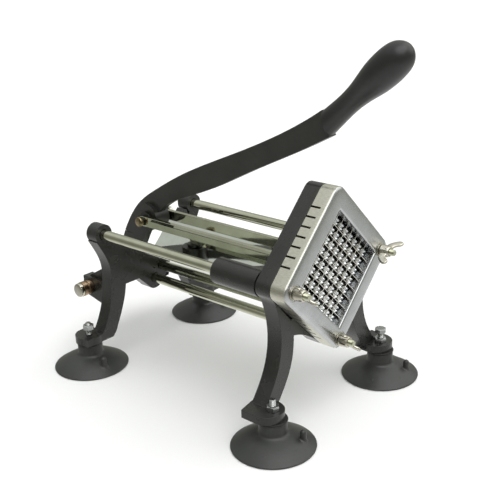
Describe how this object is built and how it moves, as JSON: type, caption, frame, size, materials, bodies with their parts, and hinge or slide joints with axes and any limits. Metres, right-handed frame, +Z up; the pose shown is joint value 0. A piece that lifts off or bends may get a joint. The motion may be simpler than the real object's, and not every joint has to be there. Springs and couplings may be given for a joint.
{
  "type": "french fry cutter",
  "caption": "Hand-lever French-fry cutter: a diamond-set square blade head and a rear stand on rods, with a lever that pulls a pinned push block along them, on suction feet.",
  "frame": {"origin": "on the worktop, under the middle of the whole machine's plan box", "axes": "+Z up; the cutting head faces -Y; +X is to the right when the cutting head is looked at from the front"},
  "size_m": [0.2378, 0.36, 0.3305],
  "materials": {
    "cast_black": "semi-gloss black enamel on cast metal",
    "handle_black": "semi-gloss black enamel on cast metal",
    "grip_plastic": "smooth black plastic",
    "chrome": "polished chrome plate",
    "head_aluminium": "cast, brushed and polished",
    "block_aluminium": "cast, bright",
    "blade_steel": "ground stainless strip",
    "trough_steel": "polished stainless sheet",
    "zinc": "bright zinc plate",
    "bronze": "turned bronze",
    "cup_rubber": "moulded black rubber",
    "gasket_rubber": "black rubber disc"
  },
  "bodies": {
    "frame": {"cutting_head": "head_aluminium", "falling_blades": "blade_steel", "rising_blades": "blade_steel", "front_frame": "cast_black", "rear_stand": "cast_black", "left_guide_rod": "chrome", "right_guide_rod": "chrome", "lower_tie_rod": "chrome", "rod_bolts": "zinc", "rod_bolt_washers": "zinc", "wing_nut_washers": "zinc", "potato_trough": "trough_steel", "suction_cup_front_left": "cup_rubber", "suction_cup_front_right": "cup_rubber", "suction_cup_rear_left": "cup_rubber", "suction_cup_rear_right": "cup_rubber", "foot_gaskets": "gasket_rubber", "foot_screws": "zinc", "foot_nuts": "zinc", "pivot_bolt": "zinc", "pivot_nut": "zinc", "bronze_bushes": "bronze", "pivot_spacers": "zinc"},
    "handle": {"handle_bar": "handle_black", "handle_grip": "grip_plastic"},
    "links": {"left_link": "chrome", "right_link": "chrome", "link_bolt": "zinc", "link_bolt_nut": "zinc", "link_washers": "zinc", "link_front_pin": "zinc"},
    "pusher": {"pusher_carriage": "cast_black", "push_block": "block_aluminium", "push_block_screws": "zinc"},
    "left_wing_nut": {"wing_nut_left": "zinc"},
    "right_wing_nut": {"wing_nut_right": "zinc"},
    "lower_wing_nut": {"wing_nut_lower": "zinc"}
  },
  "joints": [
    {"name": "handle_swing", "type": "hinge", "parent": "frame", "child": "handle", "pos_m": [0, 0.168, 0.0648], "axis": [-1, 0, 0], "range_deg": [0, 71.59]},
    {"name": "link_swing", "type": "hinge", "parent": "handle", "child": "links", "pos_m": [0, 0.115, 0.1383], "axis": [-1, 0, 0], "range_deg": [-71.59, 0]},
    {"name": "pusher_slide", "type": "slide", "parent": "frame", "child": "pusher", "axis": [0, 1, 0], "range_m": [0, 0.106]},
    {"name": "left_wing_nut_turn", "type": "hinge", "parent": "frame", "child": "left_wing_nut", "pos_m": [-0.0619, -0.122, 0.1357], "axis": [0, -1, 0], "continuous": true},
    {"name": "right_wing_nut_turn", "type": "hinge", "parent": "frame", "child": "right_wing_nut", "pos_m": [0.0619, -0.122, 0.1357], "axis": [0, -1, 0], "continuous": true},
    {"name": "lower_wing_nut_turn", "type": "hinge", "parent": "frame", "child": "lower_wing_nut", "pos_m": [0, -0.122, 0.0708], "axis": [0, -1, 0], "continuous": true}
  ],
  "couplings": [
    {"joint": "link_swing", "follows": "handle_swing", "ratio": -1},
    {"joint": "pusher_slide", "follows": "handle_swing", "m_per_rad": 0.084835}
  ]
}
